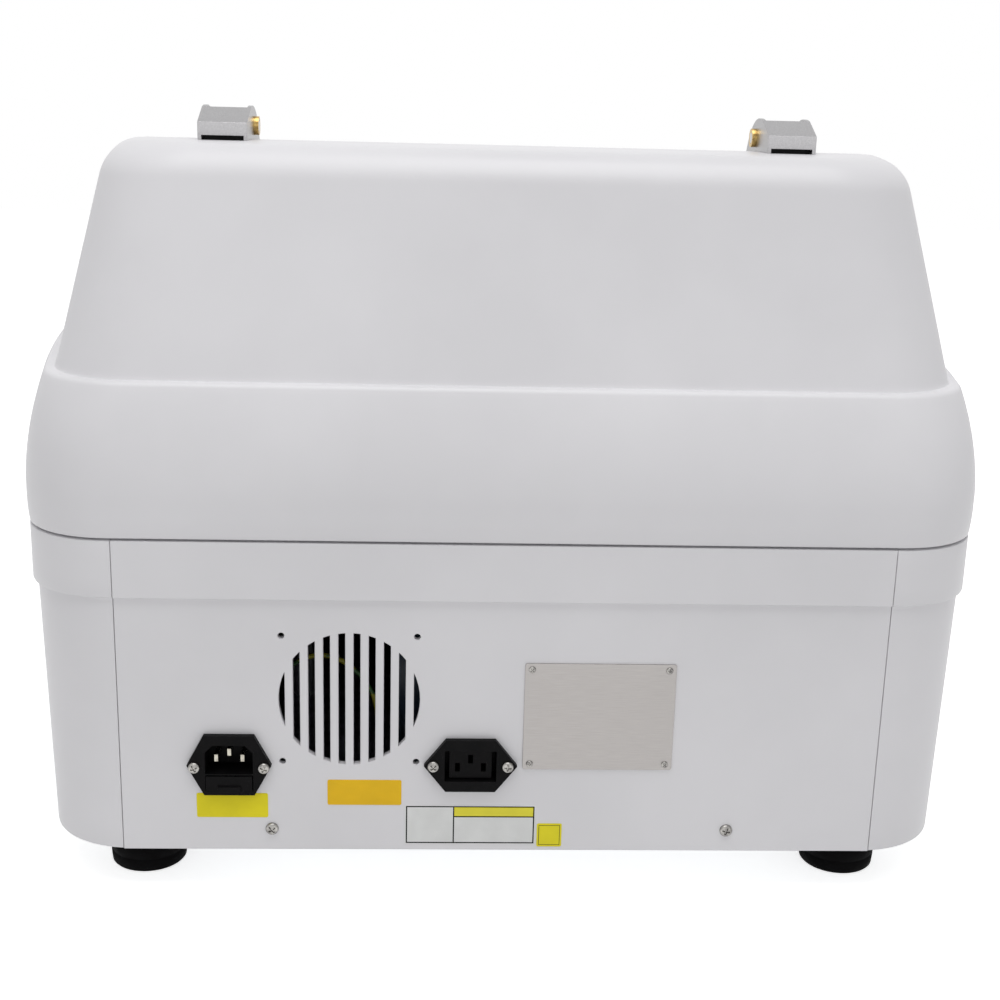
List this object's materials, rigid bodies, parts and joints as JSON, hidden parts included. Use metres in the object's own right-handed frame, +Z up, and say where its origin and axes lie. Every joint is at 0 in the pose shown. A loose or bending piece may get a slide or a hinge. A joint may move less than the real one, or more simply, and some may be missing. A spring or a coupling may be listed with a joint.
{
  "type": "lens grinding machine",
  "caption": "Bench-top lens edger: leaning casing on rubber feet, hinged chamber cover, grinding wheels on a belt-driven spindle, swinging lens head, sloped console, rear sockets and vent.",
  "frame": {"origin": "on the table, under the middle of the machine's outline", "axes": "+Z up, +Y towards the rear panel with the sockets, +X to the operator's right; the operator stands at -Y"},
  "size_m": [0.58, 0.6302, 0.4173],
  "materials": {
    "casing": "satin, fine grain",
    "black_rubber": "matte",
    "socket_plastic": "fine satin",
    "bright_screws": "bright nickel",
    "pin_brass": "nickelled",
    "plate_aluminium": "brushed",
    "label_film": "satin film",
    "hinge_steel": "brushed",
    "bush_brass": "turned",
    "block_plastic": "matte",
    "arm_steel": "brushed",
    "lid_plastic": "satin",
    "smoked_window": "polished",
    "seal_rubber": "matte",
    "bezel_plastic": "satin",
    "screen_glass": "polished",
    "keypad_film": "satin",
    "green_key": "satin",
    "red_key": "satin",
    "grey_key": "satin",
    "tray_steel": "zinc grey",
    "tub_plastic": "satin",
    "drain_plastic": "satin",
    "nozzle_steel": "satin",
    "coarse_diamond": "sintered grit",
    "fine_diamond": "sintered grit",
    "polish_diamond": "sintered grit",
    "turned_steel": "turned",
    "spacer_aluminium": "turned",
    "bearing_iron": "painted",
    "pulley_aluminium": "turned",
    "belt_rubber": "matte",
    "motor_paint": "painted",
    "support_iron": "painted",
    "head_casting": "cast",
    "cup_plastic": "satin",
    "lens_glass": "polished",
    "pad_rubber": "matte",
    "core_steel": "varnished",
    "board_green": "solder resist",
    "wire_plastic": "gloss",
    "fuse_glass": "polished",
    "switch_plastic": "satin",
    "rocker_plastic": "gloss"
  },
  "bodies": {
    "casing": {"base_tray": "tray_steel", "carriage_rail": "turned_steel", "chamber_tub": "tub_plastic", "control_board": "board_green", "display_bezel": "bezel_plastic", "display_screen": "screen_glass", "drain_spigot": "drain_plastic", "drive_belt": "belt_rubber", "earth_wire": "wire_plastic", "front_panel": "casing", "hinge_blocks": "block_plastic", "hinge_brackets": "hinge_steel", "hinge_bushes": "bush_brass", "hinge_pins": "turned_steel", "inlet_body": "socket_plastic", "inlet_pins": "pin_brass", "keypad_plate": "keypad_film", "left_side_shell": "casing", "motor_body": "motor_paint", "opening_gasket": "seal_rubber", "outlet_body": "socket_plastic", "rail_supports": "support_iron", "rating_plate": "plate_aluminium", "rear_labels": "label_film", "rear_panel": "casing", "rear_screws": "bright_screws", "right_side_shell": "casing", "rubber_feet": "black_rubber", "spindle_bearings": "bearing_iron", "switch_frame": "switch_plastic", "transformer": "core_steel", "upper_cover": "casing", "water_nozzle": "nozzle_steel"},
    "chamber_cover": {"lid_frame": "lid_plastic", "lid_window": "smoked_window", "lid_arms": "arm_steel"},
    "spindle": {"spindle_shaft": "turned_steel", "spindle_pulley": "pulley_aluminium", "roughing_wheel": "coarse_diamond", "finishing_wheel": "fine_diamond", "polishing_wheel": "polish_diamond", "wheel_spacers": "spacer_aluminium"},
    "motor_rotor": {"motor_pulley": "pulley_aluminium"},
    "carriage": {"carriage_sleeve": "turned_steel"},
    "head": {"swing_head": "head_casting"},
    "lens": {"lens_shaft": "turned_steel", "lens_cup": "cup_plastic", "lens_blank": "lens_glass"},
    "clamp": {"clamp_quill": "turned_steel"},
    "clamp_spin": {"clamp_shaft": "turned_steel", "clamp_pad": "pad_rubber"},
    "fuse_drawer": {"fuse_drawer": "socket_plastic", "fuse": "fuse_glass"},
    "rocker": {"switch_rocker": "rocker_plastic"},
    "start_key": {"start_key": "green_key"},
    "stop_key": {"stop_key": "red_key"},
    "clamp_key": {"clamp_key": "grey_key"},
    "shape_key": {"shape_key": "grey_key"},
    "plus_key": {"plus_key": "grey_key"},
    "minus_key": {"minus_key": "grey_key"}
  },
  "joints": [
    {"name": "cover_hinge", "type": "hinge", "parent": "casing", "child": "chamber_cover", "pos_m": [0, 0.16849, 0.4062], "axis": [-1, 0, 0], "range_deg": [0, 70]},
    {"name": "spindle_spin", "type": "hinge", "parent": "casing", "child": "spindle", "pos_m": [0, -0.02501, 0.176], "axis": [1, 0, 0], "continuous": true},
    {"name": "motor_spin", "type": "hinge", "parent": "casing", "child": "motor_rotor", "pos_m": [0, 0.214, 0.102], "axis": [1, 0, 0], "continuous": true},
    {"name": "carriage_traverse", "type": "slide", "parent": "casing", "child": "carriage", "axis": [1, 0, 0], "range_m": [-0.024, 0.024]},
    {"name": "head_swing", "type": "hinge", "parent": "carriage", "child": "head", "pos_m": [0, 0.15, 0.262], "axis": [-1, 0, 0], "range_deg": [-6, 12]},
    {"name": "lens_turn", "type": "hinge", "parent": "head", "child": "lens", "pos_m": [0, 0.00498, 0.273], "axis": [1, 0, 0], "continuous": true},
    {"name": "clamp_slide", "type": "slide", "parent": "head", "child": "clamp", "axis": [1, 0, 0], "range_m": [0, 0.012]},
    {"name": "clamp_turn", "type": "hinge", "parent": "clamp", "child": "clamp_spin", "pos_m": [0, 0.00498, 0.273], "axis": [1, 0, 0], "continuous": true},
    {"name": "fuse_drawer_slide", "type": "slide", "parent": "casing", "child": "fuse_drawer", "axis": [0, 1, 0], "range_m": [0, 0.016]},
    {"name": "power_rocker", "type": "hinge", "parent": "casing", "child": "rocker", "pos_m": [-0.12, -0.3079, 0.119], "axis": [-1, 0, 0], "range_deg": [0, 10]},
    {"name": "start_key_press", "type": "slide", "parent": "casing", "child": "start_key", "axis": [0, 0.454, -0.891], "range_m": [0, 0.0025], "stiffness_N_per_m": 300, "springref_m": -0.002},
    {"name": "stop_key_press", "type": "slide", "parent": "casing", "child": "stop_key", "axis": [0, 0.454, -0.891], "range_m": [0, 0.0025], "stiffness_N_per_m": 300, "springref_m": -0.002},
    {"name": "clamp_key_press", "type": "slide", "parent": "casing", "child": "clamp_key", "axis": [0, 0.454, -0.891], "range_m": [0, 0.0025], "stiffness_N_per_m": 300, "springref_m": -0.002},
    {"name": "shape_key_press", "type": "slide", "parent": "casing", "child": "shape_key", "axis": [0, 0.454, -0.891], "range_m": [0, 0.0025], "stiffness_N_per_m": 300, "springref_m": -0.002},
    {"name": "plus_key_press", "type": "slide", "parent": "casing", "child": "plus_key", "axis": [0, 0.454, -0.891], "range_m": [0, 0.0025], "stiffness_N_per_m": 300, "springref_m": -0.002},
    {"name": "minus_key_press", "type": "slide", "parent": "casing", "child": "minus_key", "axis": [0, 0.454, -0.891], "range_m": [0, 0.0025], "stiffness_N_per_m": 300, "springref_m": -0.002}
  ],
  "couplings": [
    {"joint": "motor_spin", "follows": "spindle_spin", "ratio": 0.7354},
    {"joint": "clamp_turn", "follows": "lens_turn", "ratio": 1}
  ]
}
